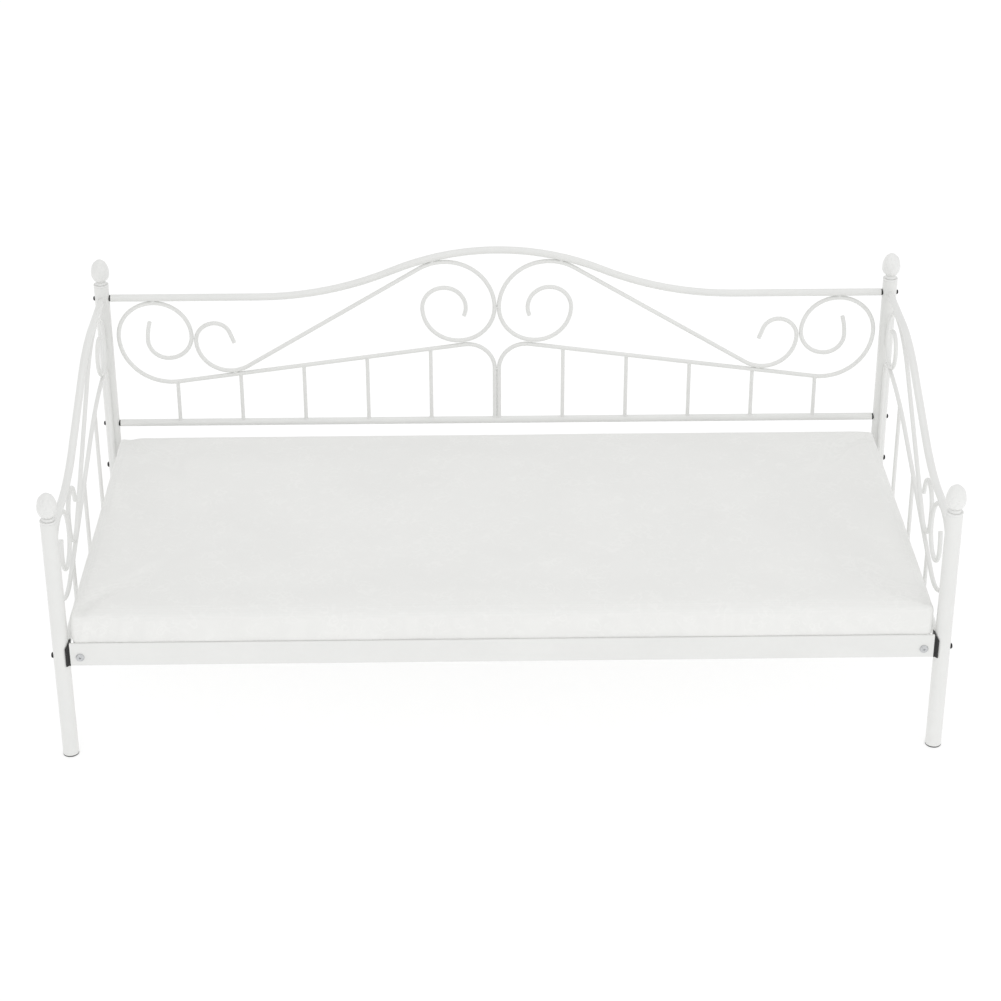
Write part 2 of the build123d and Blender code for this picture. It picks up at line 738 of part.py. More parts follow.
def make_bracket():
    """A steel angle: one leg behind the rail's web, the other flat against the saddle."""
    corner_x = -RAIL_HALF_LENGTH
    corner_y = -RAIL_FACE + RAIL_SHEET
    with BuildPart() as bracket:
        with BuildSketch(Plane.XY.offset(BRACKET_BOTTOM)):
            with BuildLine():
                Polyline(
                    (corner_x, corner_y),
                    (corner_x + BRACKET_LEG, corner_y),
                    (corner_x + BRACKET_LEG, corner_y + BRACKET_SHEET),
                    (corner_x + BRACKET_SHEET, corner_y + BRACKET_SHEET),
                    (corner_x + BRACKET_SHEET, corner_y + BRACKET_WIDTH),
                    (corner_x, corner_y + BRACKET_WIDTH),
                    close=True,
                )
            make_face()
        extrude(amount=BRACKET_TOP - BRACKET_BOTTOM)
        with BuildSketch(Plane.YZ.offset(corner_x)):
            with Locations((-POST_Y, DECK_BOLT_LEVEL)):
                Circle(DECK_BOLT_RADIUS + BOLT_CLEARANCE)
        extrude(amount=2 * BRACKET_SHEET, both=True, mode=Mode.SUBTRACT)
        with BuildSketch(Plane.XZ.offset(-corner_y)):
            with Locations((-RAIL_BOLT_X, DECK_BOLT_LEVEL)):
                Circle(DECK_BOLT_RADIUS + BOLT_CLEARANCE)
        extrude(amount=2 * BRACKET_SHEET, both=True, mode=Mode.SUBTRACT)
    return bracket


def turn_bolt(head, shank_radius, shank_length):
    """A dome-head bolt whose head sits on the XY plane, with its shank pointing down."""
    head_radius, head_height = head
    dome = (head_radius**2 + head_height**2) / (2 * head_height)
    half = asin(head_radius / dome) / 2
    with BuildPart() as bolt:
        with BuildSketch(Plane.XZ):
            with BuildLine():
                Polyline(
                    (0, head_height),
                    (0, -shank_length),
                    (shank_radius, -shank_length),
                    (shank_radius, 0),
                    (head_radius, 0),
                )
                ThreePointArc(
                    (head_radius, 0),
                    (dome * sin(half), head_height - dome * (1 - cos(half))),
                    (0, head_height),
                )
            make_face()
        revolve(axis=Axis.Z)
    return bolt


def make_nut():
    """A hexagon nut standing on the XY plane."""
    with BuildPart() as nut:
        with BuildSketch():
            RegularPolygon(NUT_FLATS / 2, 6, major_radius=False)
            Circle(DECK_BOLT_RADIUS + THREAD_CLEARANCE, mode=Mode.SUBTRACT)
        extrude(amount=NUT_HEIGHT)
    return nut


def save_group(piece, seats, name):
    """Write one node with a copy of a fastener on every seat."""
    with BuildPart() as group:
        with Locations(*seats):
            add(piece.part)
    save(group, name)


def make_fasteners():
    """Bolts and nuts of the deck's corners and bolts of the back panel."""
    corners = [(side_x, side_y) for side_x in (-1, 1) for side_y in (-1, 1)]
    outside = POST_X + POST_RADIUS
    bracket_face = RAIL_HALF_LENGTH - BRACKET_SHEET
    rail_inside = RAIL_FACE - RAIL_SHEET - BRACKET_SHEET
    post_seats = []
    post_nut_seats = []
    rail_seats = []
    rail_nut_seats = []
    for side_x, side_y in corners:
        post_y = side_y * POST_Y
        bolt_x = side_x * RAIL_BOLT_X
        level = DECK_BOLT_LEVEL
        outward = (side_x, 0, 0)
        post_seats.append(Plane((side_x * outside, post_y, level), z_dir=outward))
        inward = (-side_x, 0, 0)
        post_nut_seats.append(Plane((side_x * bracket_face, post_y, level), z_dir=inward))
        outward = (0, side_y, 0)
        rail_seats.append(Plane((bolt_x, side_y * RAIL_FACE, level), z_dir=outward))
        inward = (0, -side_y, 0)
        rail_nut_seats.append(Plane((bolt_x, side_y * rail_inside, level), z_dir=inward))
    panel_seats = [
        Plane((side_x * outside, POST_Y, level), z_dir=(side_x, 0, 0))
        for side_x in (-1, 1)
        for level in (BACK_LOWER_LEVEL, BACK_TOP_LEVEL)
    ]
    post_bolt = turn_bolt(POST_BOLT_HEAD, DECK_BOLT_RADIUS, POST_BOLT_LENGTH)
    save_group(post_bolt, post_seats, "post_bolts")
    save_group(make_nut(), post_nut_seats, "post_bolt_nuts")
    rail_bolt = turn_bolt(RAIL_BOLT_HEAD, DECK_BOLT_RADIUS, RAIL_BOLT_LENGTH)
    save_group(rail_bolt, rail_seats, "rail_bolts")
    save_group(make_nut(), rail_nut_seats, "rail_bolt_nuts")
    panel_bolt = turn_bolt(PANEL_BOLT_HEAD, PANEL_BOLT_RADIUS, PANEL_BOLT_LENGTH)
    save_group(panel_bolt, panel_seats, "panel_bolts")


def make_deck():
    """Rails, ledges, slats, corner joints and fasteners."""
    front_rail = make_front_rail()
    save(front_rail, "front_rail")
    save(mirrored(front_rail, Plane.XZ), "rear_rail")
    front_ledge = make_front_ledge()
    save(front_ledge, "front_ledge")
    save(mirrored(front_ledge, Plane.XZ), "rear_ledge")
    make_slats()
    save_corners(make_saddle(), "saddle")
    save_corners(make_bracket(), "bracket")
    make_fasteners()


# ---------------------------------------------------------------- mattress


def make_mattress():
    """A foam core inside a closed cover with rounded edges."""
    middle_y = MATTRESS_FRONT + MATTRESS_DEPTH / 2
    middle_z = MATTRESS_BOTTOM + MATTRESS_THICKNESS / 2
    inner = 2 * COVER_THICKNESS
    with BuildPart() as core:
        with Locations((0, middle_y, middle_z)):
            Box(MATTRESS_LENGTH - inner, MATTRESS_DEPTH - inner, MATTRESS_THICKNESS - inner)
        fillet(core.edges().filter_by(Axis.Z), MATTRESS_CORNER - COVER_THICKNESS)
        fillet(core.edges().group_by(Axis.Z)[-1], MATTRESS_TOP_EDGE - COVER_THICKNESS)
    save(core, "mattress_core")
    with BuildPart() as cover:
        with Locations((0, middle_y, middle_z)):
            Box(MATTRESS_LENGTH, MATTRESS_DEPTH, MATTRESS_THICKNESS)
        fillet(cover.edges().filter_by(Axis.Z), MATTRESS_CORNER)
        fillet(cover.edges().group_by(Axis.Z)[-1], MATTRESS_TOP_EDGE)
        fillet(cover.edges().group_by(Axis.Z)[0], MATTRESS_BOTTOM_EDGE)
        add(core.part, mode=Mode.SUBTRACT)
    save(cover, "mattress_cover")


make_posts()
make_back_panel()
make_side_panels()
make_deck()
make_mattress()
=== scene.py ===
# %% [markdown]
# # A white scrollwork daybed
# The daybed is a steel frame with curled wire panels, four posts with egg finials, a bolted deck
# and one mattress in a knitted cover. The measured frame is loaded first and stays where it is.
# Everything softer or finer than the measured model is added round it: the padded mattress, the
# turned finials, the bolt heads and the weld beads. Each finish then gets its own material.

# %% Load the measured frame
import json
import math

import bpy
from mathutils import Matrix, Vector, noise
from mathutils.bvhtree import BVHTree


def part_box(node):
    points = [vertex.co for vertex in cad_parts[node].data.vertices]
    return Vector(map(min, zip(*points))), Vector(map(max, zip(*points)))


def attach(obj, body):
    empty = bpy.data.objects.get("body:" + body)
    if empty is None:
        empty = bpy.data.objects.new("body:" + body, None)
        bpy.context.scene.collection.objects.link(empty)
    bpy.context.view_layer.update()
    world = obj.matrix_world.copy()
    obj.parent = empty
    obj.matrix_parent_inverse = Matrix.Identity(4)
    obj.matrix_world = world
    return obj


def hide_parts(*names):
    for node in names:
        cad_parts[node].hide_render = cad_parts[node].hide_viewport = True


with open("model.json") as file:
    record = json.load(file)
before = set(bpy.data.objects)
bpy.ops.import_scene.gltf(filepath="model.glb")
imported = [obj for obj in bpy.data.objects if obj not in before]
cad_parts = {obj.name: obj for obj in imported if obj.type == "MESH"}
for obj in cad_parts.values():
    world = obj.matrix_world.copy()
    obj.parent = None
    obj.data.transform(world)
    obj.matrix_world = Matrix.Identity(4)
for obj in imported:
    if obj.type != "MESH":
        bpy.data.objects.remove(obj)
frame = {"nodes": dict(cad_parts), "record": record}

scene = bpy.context.scene
nodes = frame["nodes"]
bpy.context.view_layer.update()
slot_of = {row["node"]: row["material_slot"] for row in frame["record"]["subparts"]}

# %% [markdown]
# ## Hand tools
# Blender's operators act on all that is selected, and the loaded parts arrive selected. So every
# step starts by clearing the selection and taking one object in hand. Faces are then picked by
# where they are or which way they look, as a modeller would click them.


# %% Selecting and applying
def clear_hands():
    if bpy.context.object and bpy.context.object.mode != "OBJECT":
        bpy.ops.object.mode_set(mode="OBJECT")
    bpy.ops.object.select_all(action="DESELECT")


def take(piece):
    clear_hands()
    piece.select_set(True)
    bpy.context.view_layer.objects.active = piece


def settle(piece):
    """Puts the place, turn and size of an object into its mesh."""
    take(piece)
    bpy.ops.object.transform_apply(location=True, rotation=True, scale=True)


def pick(piece, test):
    """Enters edit mode with only the faces selected that pass the test."""
    take(piece)
    mesh = piece.data
    for part in (mesh.vertices, mesh.edges, mesh.polygons):
        part.foreach_set("select", [False] * len(part))
    for face in mesh.polygons:
        face.select = test(face)
    bpy.context.tool_settings.mesh_select_mode = (False, False, True)
    bpy.ops.object.mode_set(mode="EDIT")


def leave():
    bpy.ops.object.mode_set(mode="OBJECT")


def finish_with(piece, kind, **values):
    """Adds a modifier with these values and applies it."""
    take(piece)
    modifier = piece.modifiers.new(kind.title(), kind)
    for name, value in values.items():
        setattr(modifier, name, value)
    bpy.ops.object.modifier_apply(modifier=modifier.name)


def face_outward(piece):
    pick(piece, lambda face: True)
    bpy.ops.mesh.remove_doubles(threshold=0.00002)
    bpy.ops.mesh.normals_make_consistent(inside=False)
    leave()


def smooth(piece, degrees=40):
    take(piece)
    bpy.ops.object.shade_smooth_by_angle(angle=math.radians(degrees))


def copy_of(piece, name, move=Matrix.Identity(4)):
    """A copy with its own mesh, moved in its mesh so that the object stays at the origin."""
    twin = bpy.data.objects.new(name, piece.data.copy())
    scene.collection.objects.link(twin)
    twin.data.transform(move)
    twin.data.name = name
    return twin


def join(parts, name):
    take(parts[0])
    for part in parts[1:]:
        part.select_set(True)
    bpy.ops.object.join()
    parts[0].name = name
    parts[0].data.name = name
    return parts[0]


def count(piece):
    piece.data.calc_loop_triangles()
    print(piece.name, len(piece.data.loop_triangles), "triangles")


# %% [markdown]
# ## The camera and the room
# The daybed is seen from in front and well above, as from a tall stand. A long lens keeps the far
# posts nearly as large as the near ones. The room is plain: a pale floor, an even white sky and
# three large soft lights, so that white steel still reads against white.

# %% Camera
CAMERA_PLACE = Vector((-0.0715, -5.0361, 3.1873))
CAMERA_YAW = math.radians(-0.843)
CAMERA_PITCH = math.radians(-25.859)
CAMERA_ROLL = math.radians(0.13)
LENS = 82.75

look = Matrix.Rotation(CAMERA_YAW, 4, "Z") @ Matrix.Rotation(CAMERA_PITCH, 4, "X")
look = look @ Matrix.Rotation(CAMERA_ROLL, 4, "Y") @ Matrix.Rotation(math.pi / 2, 4, "X")
clear_hands()
bpy.ops.object.camera_add()
camera = bpy.context.object
camera.name = "camera"
camera.matrix_world = Matrix.Translation(CAMERA_PLACE) @ look
camera.data.sensor_width = 36
camera.data.lens = LENS
camera.data.shift_y = -0.12
camera.data.clip_end = 100
scene.camera = camera
print("camera at", tuple(CAMERA_PLACE), "lens", LENS)

# %% Floor, sky and lights
scene.view_settings.view_transform = "Standard"
clear_hands()
bpy.ops.mesh.primitive_plane_add(size=60, location=(0, 0, 0))
floor = bpy.context.object
floor.name = "floor"

world = bpy.data.worlds.new("studio")
scene.world = world
world.use_nodes = True
sky = world.node_tree.nodes["Background"]
sky.inputs["Color"].default_value = (1.0, 1.0, 1.0, 1)
SKY_STRENGTH = 0.84
sky.inputs["Strength"].default_value = SKY_STRENGTH


def hang_light(name, place, target, size, power):
    clear_hands()
    bpy.ops.object.light_add(type="AREA", location=place)
    light = bpy.context.object
    light.name = name
    light.data.shape = "DISK"
    light.data.size = size
    light.data.energy = power
    aim = Vector(target) - Vector(place)
    light.rotation_euler = aim.to_track_quat("-Z", "Y").to_euler()
    print("light", name, "at", place, power, "W")
    return light


hang_light("front_softbox", (-1.6, -4.6, 3.4), (0, -0.2, 0.4), 3.2, 19)
hang_light("fill_softbox", (3.6, -3.0, 2.2), (0, 0, 0.5), 2.6, 14)
hang_light("top_softbox", (0.4, 0.6, 4.6), (0, 0, 0.4), 3.5, 15)

# %% [markdown]
# ## Finish groups
# Powder coat, plating, moulded plastic and knitted cloth each have a pattern that more than one
# material uses. Each is a node group: it takes a place on the piece and a few values, and gives
# back a colour, a roughness and a height. The shader itself stays in the material.


# %% Building node groups
def start_group(name, inputs):
    group = bpy.data.node_groups.new(name, "ShaderNodeTree")
    group.interface.new_socket("Place", in_out="INPUT", socket_type="NodeSocketVector")
    for label, kind, value in inputs:
        socket = group.interface.new_socket(label, in_out="INPUT", socket_type=kind)
        socket.default_value = value
    group.interface.new_socket("Colour", in_out="OUTPUT", socket_type="NodeSocketColor")
    group.interface.new_socket("Roughness", in_out="OUTPUT", socket_type="NodeSocketFloat")
    group.interface.new_socket("Height", in_out="OUTPUT", socket_type="NodeSocketFloat")
    entry = group.nodes.new("NodeGroupInput")
    exit_node = group.nodes.new("NodeGroupOutput")
    return group, entry, exit_node


def put(tree, kind, links=None, **values):
    """Adds a node, sets its values and joins its inputs."""
    node = tree.nodes.new(kind)
    for name, value in values.items():
        setattr(node, name, value)
    for socket, source in (links or {}).items():
        if isinstance(source, bpy.types.NodeSocket):
            tree.links.new(source, node.inputs[socket])
        else:
            node.inputs[socket].default_value = source
    return node


def maths(tree, operation, first, second=0.0):
    node = put(tree, "ShaderNodeMath", {0: first, 1: second}, operation=operation)
    return node.outputs[0]


def spread(tree, source, low, high):
    """Stretches a pattern from 0..1 to low..high."""
    links = {"Value": source, "To Min": low, "To Max": high}
    return put(tree, "ShaderNodeMapRange", links).outputs["Result"]


def tint(tree, factor, first, second, blend="MIX"):
    node = put(tree, "ShaderNodeMix", data_type="RGBA", blend_type=blend)
    for index, source in ((0, factor), (6, first), (7, second)):
        if isinstance(source, bpy.types.NodeSocket):
            tree.links.new(source, node.inputs[index])
        else:
            node.inputs[index].default_value = source
    return node.outputs[2]


# %% Coating: a baked-on powder, slightly pebbled, a touch uneven in tone
COLOUR = "NodeSocketColor"
FLOAT = "NodeSocketFloat"
coating, entry, done = start_group(
    "coating",
    [("Tone", COLOUR, (0.8, 0.8, 0.8, 1)), ("Gloss", FLOAT, 0.36), ("Peel", FLOAT, 420.0)],
)
peel = put(
    coating, "ShaderNodeTexNoise", {"Vector": entry.outputs["Place"], "Scale": entry.outputs["Peel"]}
)
drift = put(
    coating, "ShaderNodeTexNoise", {"Vector": entry.outputs["Place"], "Scale": 5.0, "Detail": 4.0}
)
speck = put(
    coating, "ShaderNodeTexNoise", {"Vector": entry.outputs["Place"], "Scale": 60.0, "Detail": 3.0}
)
shade = spread(coating, drift.outputs["Fac"], 0.93, 1.03)
warm = put(coating, "ShaderNodeHueSaturation", {"Color": entry.outputs["Tone"], "Value": shade})
fine = spread(coating, speck.outputs["Fac"], 0.985, 1.015)
spotted = put(coating, "ShaderNodeHueSaturation", {"Color": warm.outputs[0], "Value": fine})
rough = maths(coating, "MULTIPLY", spread(coating, speck.outputs["Fac"], 0.8, 1.25), entry.outputs["Gloss"])
coating.links.new(spotted.outputs[0], done.inputs["Colour"])
coating.links.new(rough, done.inputs["Roughness"])
coating.links.new(peel.outputs["Fac"], done.inputs["Height"])
print("group", coating.name)

# %% Plating: zinc in fine grey crystals, with rubbed and dull patches
plating, entry, done = start_group(
    "plating", [("Tone", COLOUR, (0.6, 0.6, 0.6, 1)), ("Grain", FLOAT, 700.0)]
)
crystals = put(
    plating, "ShaderNodeTexVoronoi", {"Vector": entry.outputs["Place"], "Scale": entry.outputs["Grain"]}
)
dull = put(plating, "ShaderNodeTexNoise", {"Vector": entry.outputs["Place"], "Scale": 120.0, "Detail": 5.0})
level = maths(plating, "MULTIPLY", crystals.outputs["Color"], 0.35)
level = maths(plating, "ADD", level, spread(plating, dull.outputs["Fac"], 0.55, 1.0))
plated = put(plating, "ShaderNodeHueSaturation", {"Color": entry.outputs["Tone"], "Value": level})
plating.links.new(plated.outputs[0], done.inputs["Colour"])
plating.links.new(spread(plating, dull.outputs["Fac"], 0.22, 0.5), done.inputs["Roughness"])
plating.links.new(crystals.outputs["Distance"], done.inputs["Height"])
print("group", plating.name)

# %% Moulding: the fine spark-eroded grain of a plastic tool
moulding, entry, done = start_group(
    "moulding", [("Tone", COLOUR, (0.03, 0.03, 0.03, 1)), ("Grain", FLOAT, 1600.0), ("Dull", FLOAT, 0.5)]
)
grain = put(
    moulding, "ShaderNodeTexNoise", {"Vector": entry.outputs["Place"], "Scale": entry.outputs["Grain"]}
)
scuff = put(moulding, "ShaderNodeTexNoise", {"Vector": entry.outputs["Place"], "Scale": 45.0, "Detail": 6.0})
scuffed = put(
    moulding,
    "ShaderNodeHueSaturation",
    {"Color": entry.outputs["Tone"], "Value": spread(moulding, scuff.outputs["Fac"], 0.7, 1.5)},
)
worn = maths(
    moulding, "MULTIPLY", spread(moulding, scuff.outputs["Fac"], 0.8, 1.2), entry.outputs["Dull"]
)
moulding.links.new(scuffed.outputs[0], done.inputs["Colour"])
moulding.links.new(worn, done.inputs["Roughness"])
moulding.links.new(grain.outputs["Fac"], done.inputs["Height"])
print("group", moulding.name)

# %% [markdown]
# ## Cloth of the cover
# The cover is a fine white jersey with a woven-in leaf and scroll figure. A knit is rows of tiny
# bumps in two directions, so sine waves along all three axes give it on the top and on the
# borders alike. The figure comes from rings round scattered points, bent by noise into curls.

# %% Knit: loops, figure and a soft unevenness
knit, entry, done = start_group(
    "knit",
    [("Tone", COLOUR, (0.8, 0.8, 0.8, 1)), ("Loops", FLOAT, 2900.0), ("Figure", FLOAT, 30.0)],
)
axes = put(knit, "ShaderNodeSeparateXYZ", {"Vector": entry.outputs["Place"]})
waves = []
for axis in ("X", "Y", "Z"):
    turned = maths(knit, "MULTIPLY", axes.outputs[axis], entry.outputs["Loops"])
    waves.append(maths(knit, "SINE", turned))
loops = maths(knit, "ADD", maths(knit, "ADD", waves[0], waves[1]), waves[2])
bend = put(knit, "ShaderNodeTexNoise", {"Vector": entry.outputs["Place"], "Scale": 26.0, "Detail": 2.0})
swirl = put(knit, "ShaderNodeVectorMath", {0: bend.outputs["Color"], 1: (0.034, 0.034, 0.034)})
swirl.operation = "MULTIPLY"
bent = put(knit, "ShaderNodeVectorMath", {0: entry.outputs["Place"], 1: swirl.outputs[0]})
bent.operation = "ADD"
seeds = put(
    knit,
    "ShaderNodeTexVoronoi",
    {"Vector": bent.outputs[0], "Scale": entry.outputs["Figure"], "Randomness": 0.55},
    feature="SMOOTH_F1",
)
rings = maths(knit, "SINE", maths(knit, "MULTIPLY", seeds.outputs["Distance"], 21.0))
curls = put(
    knit,
    "ShaderNodeMapRange",
    {"Value": rings, "From Min": 0.15, "From Max": 0.75},
    interpolation_type="SMOOTHSTEP",
).outputs["Result"]
broken = put(knit, "ShaderNodeTexNoise", {"Vector": entry.outputs["Place"], "Scale": 19.0, "Detail": 3.0})
keep = put(
    knit, "ShaderNodeMapRange", {"Value": broken.outputs["Fac"], "From Min": 0.38, "From Max": 0.62}
).outputs["Result"]
figure = maths(knit, "MULTIPLY", curls, keep)
cloud = put(knit, "ShaderNodeTexNoise", {"Vector": entry.outputs["Place"], "Scale": 3.2, "Detail": 3.0})
drift = spread(knit, cloud.outputs["Fac"], 0.985, 1.01)
value = maths(knit, "ADD", drift, maths(knit, "MULTIPLY", figure, 0.024))
value = maths(knit, "ADD", value, maths(knit, "MULTIPLY", loops, 0.008))
cloth = put(knit, "ShaderNodeHueSaturation", {"Color": entry.outputs["Tone"], "Value": value})
height = maths(knit, "ADD", maths(knit, "MULTIPLY", loops, 0.12), maths(knit, "MULTIPLY", figure, 0.35))
knit.links.new(cloth.outputs[0], done.inputs["Colour"])
knit.links.new(spread(knit, figure, 0.92, 0.72), done.inputs["Roughness"])
knit.links.new(height, done.inputs["Height"])
print("group", knit.name)


# %% [markdown]
# ## Materials
# Each material places one group, joins it to its shader and sets the plain numbers, such as
# metal or sheen, on the shader's own sockets. All patterns read the object's own coordinates, so
# they hold still when a piece moves.


# %% Building materials
def make_finish(name, group, values, bump, distance, shader_values):
    material = bpy.data.materials.new(name)
    material.use_nodes = True
    tree = material.node_tree
    shader = tree.nodes["Principled BSDF"]
    place = put(tree, "ShaderNodeTexCoord")
    pattern = put(tree, "ShaderNodeGroup", node_tree=group)
    tree.links.new(place.outputs["Object"], pattern.inputs["Place"])
    for label, value in values.items():
        pattern.inputs[label].default_value = value
    relief = put(
        tree, "ShaderNodeBump", {"Height": pattern.outputs["Height"], "Strength": bump, "Distance": distance}
    )
    tree.links.new(pattern.outputs["Colour"], shader.inputs["Base Color"])
    tree.links.new(pattern.outputs["Roughness"], shader.inputs["Roughness"])
    tree.links.new(relief.outputs["Normal"], shader.inputs["Normal"])
    for label, value in shader_values.items():
        shader.inputs[label].default_value = value
    print("material", name)
    return material


# %% The finishes of this daybed
finishes = {
    "white_powder_coat": make_finish(
        "white_powder_coat",
        coating,
        {"Tone": (0.815, 0.818, 0.803, 1), "Gloss": 0.36, "Peel": 520.0},
        bump=0.25,
        distance=0.0004,
        shader_values={"Specular IOR Level": 0.45, "Coat Weight": 0.15, "Coat Roughness": 0.22},
    ),
    "white_finial": make_finish(
        "white_finial",
        coating,
        {"Tone": (0.83, 0.832, 0.82, 1), "Gloss": 0.3, "Peel": 300.0},
        bump=0.15,
        distance=0.0003,
        shader_values={"Specular IOR Level": 0.5, "Coat Weight": 0.25, "Coat Roughness": 0.18},
    ),
    "zinc_steel": make_finish(
        "zinc_steel",
        plating,
        {"Tone": (0.62, 0.63, 0.65, 1), "Grain": 500.0},
        bump=0.2,
        distance=0.0002,
        shader_values={"Metallic": 1.0},
    ),
    "zinc_bolt": make_finish(
        "zinc_bolt",
        plating,
        {"Tone": (0.6, 0.61, 0.62, 1), "Grain": 900.0},
        bump=0.15,
        distance=0.0001,
        shader_values={"Metallic": 1.0},
    ),
    "black_bolt": make_finish(
        "black_bolt",
        moulding,
        {"Tone": (0.02, 0.02, 0.021, 1), "Grain": 2400.0, "Dull": 0.34},
        bump=0.15,
        distance=0.0001,
        shader_values={"Metallic": 0.6},
    ),
    "black_plastic": make_finish(
        "black_plastic",
        moulding,
        {"Tone": (0.018, 0.018, 0.018, 1), "Grain": 1700.0, "Dull": 0.5},
        bump=0.3,
        distance=0.0002,
        shader_values={"Specular IOR Level": 0.4},
    ),
    "grey_plastic": make_finish(
        "grey_plastic",
        moulding,
        {"Tone": (0.1, 0.1, 0.1, 1), "Grain": 1500.0, "Dull": 0.52},
        bump=0.3,
        distance=0.0002,
        shader_values={"Specular IOR Level": 0.4},
    ),
    "white_cover": make_finish(
        "white_cover",
        knit,
        {"Tone": (0.845, 0.846, 0.83, 1), "Loops": 2900.0, "Figure": 40.0},
        bump=0.5,
        distance=0.0005,
        shader_values={"Sheen Weight": 0.25, "Sheen Roughness": 0.45, "Specular IOR Level": 0.2},
    ),
}


def dress(piece, slot):
    piece.data.materials.clear()
    piece.data.materials.append(finishes[slot])


dressed = 0
for node_name, part in nodes.items():
    if slot_of[node_name] in finishes:
        dress(part, slot_of[node_name])
        dressed += 1
print("dressed", dressed, "measured parts")

# %% Floor finish: a pale board that glows a little, as a lit studio floor does
floor_finish = bpy.data.materials.new("floor_white")
floor_finish.use_nodes = True
tree = floor_finish.node_tree
board = tree.nodes["Principled BSDF"]
where = put(tree, "ShaderNodeTexCoord")
mottle = put(tree, "ShaderNodeTexNoise", {"Vector": where.outputs["Object"], "Scale": 0.7, "Detail": 3.0})
light_tone = (0.42, 0.42, 0.42, 1)
dark_tone = (0.405, 0.405, 0.405, 1)
tree.links.new(tint(tree, mottle.outputs["Fac"], light_tone, dark_tone), board.inputs["Base Color"])
board.inputs["Roughness"].default_value = 0.9
board.inputs["Specular IOR Level"].default_value = 0.1
board.inputs["Emission Color"].default_value = (1, 1, 1, 1)
board.inputs["Emission Strength"].default_value = 0.665
floor.data.materials.append(floor_finish)
print("floor dressed")

# %% [markdown]
# ## The finials
# A finial is a cast egg on a short neck, with three rows of overlapping leaves pressed into it. It
# could be turned from a drawn profile. Starting from a ball and pulling it into an egg keeps an
# even net of faces, and the leaves are then picked from that net and raised by inset.

# %% The egg and its neck
egg_low, egg_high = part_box("finial_front_left")
EGG_RADIUS = (egg_high.x - egg_low.x) / 2
EGG_TOP = egg_high.z
EGG_BASE = egg_low.z
EGG_WAIST = EGG_BASE + 0.030
LEAF_RISE = 0.0015
egg_middle = Vector(((egg_low.x + egg_high.x) / 2, (egg_low.y + egg_high.y) / 2, 0))
SEGMENTS = 48
RINGS = 30
body_radius = EGG_RADIUS - LEAF_RISE
clear_hands()
bpy.ops.mesh.primitive_uv_sphere_add(
    segments=SEGMENTS,
    ring_count=RINGS,
    radius=body_radius,
    location=(egg_middle.x, egg_middle.y, EGG_WAIST),
)
finial = bpy.context.object
finial.name = "finial"
settle(finial)
upper = (EGG_TOP - LEAF_RISE - EGG_WAIST) / body_radius
lower = 0.025 / body_radius
egg_centre = (egg_middle.x, egg_middle.y, EGG_WAIST)
for above, stretch in ((True, upper), (False, lower)):
    pick(finial, lambda face: (face.center.z > EGG_WAIST) == above)
    bpy.ops.transform.resize(value=(1, 1, stretch), center_override=egg_centre)
    leave()
print("egg radius", round(EGG_RADIUS, 4), "height", round(EGG_TOP - EGG_BASE, 4))

# %% The neck: the bottom of the egg is cut open, drawn in and dropped to a small foot
NECK_RADIUS = 0.0135
neck_top = EGG_BASE + 0.0075
pick(finial, lambda face: face.center.z < neck_top)
bpy.ops.mesh.delete(type="FACE")
leave()
rim_level = min(v.co.z for v in finial.data.vertices)
rim = [v for v in finial.data.vertices if v.co.z < rim_level + 0.0002]
rim_radius = (Vector(rim[0].co.xy) - Vector(egg_middle.xy)).length
take(finial)
for part in (finial.data.vertices, finial.data.edges, finial.data.polygons):
    part.foreach_set("select", [False] * len(part))
for v in rim:
    v.select = True
bpy.context.tool_settings.mesh_select_mode = (True, False, False)
bpy.ops.object.mode_set(mode="EDIT")
neck_steps = (
    (rim_level - 0.0006, NECK_RADIUS),
    (EGG_BASE + 0.0035, NECK_RADIUS - 0.0002),
    (EGG_BASE + 0.0024, NECK_RADIUS + 0.0012),
    (EGG_BASE + 0.0006, NECK_RADIUS + 0.0015),
    (EGG_BASE, NECK_RADIUS + 0.001),
    (EGG_BASE, 0.006),
)
level_now = rim_level
radius_now = rim_radius
for level_next, radius_next in neck_steps:
    bpy.ops.mesh.extrude_region_move(
        TRANSFORM_OT_translate={"value": (0, 0, level_next - level_now)}
    )
    share = radius_next / radius_now
    bpy.ops.transform.resize(
        value=(share, share, 1), center_override=(egg_middle.x, egg_middle.y, level_next)
    )
    level_now = level_next
    radius_now = radius_next
bpy.ops.mesh.edge_face_add()
leave()
print("neck radius", NECK_RADIUS, "from a rim of", round(rim_radius, 4))

# %% The leaves: three staggered rows of pointed shapes, raised, then eased
LEAVES = 8
leaf_rows = ((0.0215, 0.0125, 0.0), (0.0375, 0.0115, 0.5), (0.0520, 0.0095, 0.0))


def in_leaf(face, row_level, half_height, turn):
    spot = face.center - egg_middle
    angle = math.atan2(spot.y, spot.x) / math.tau * LEAVES + turn
    across = abs(angle - round(angle)) / 0.5
    along = (spot.z - EGG_BASE - row_level) / half_height
    width = 1 - abs(along) ** 1.5
    return abs(along) < 1 and across < 0.88 * width


for row_level, half_height, turn in leaf_rows:
    pick(finial, lambda face: in_leaf(face, row_level, half_height, turn))
    bpy.ops.mesh.inset(thickness=0.0006, depth=LEAF_RISE * 0.9)
    bpy.ops.mesh.vertices_smooth(factor=0.5, repeat=2)
    leave()
finish_with(finial, "SUBSURF", levels=1, render_levels=1)
face_outward(finial)
smooth(finial, 60)
dress(finial, "white_finial")
count(finial)

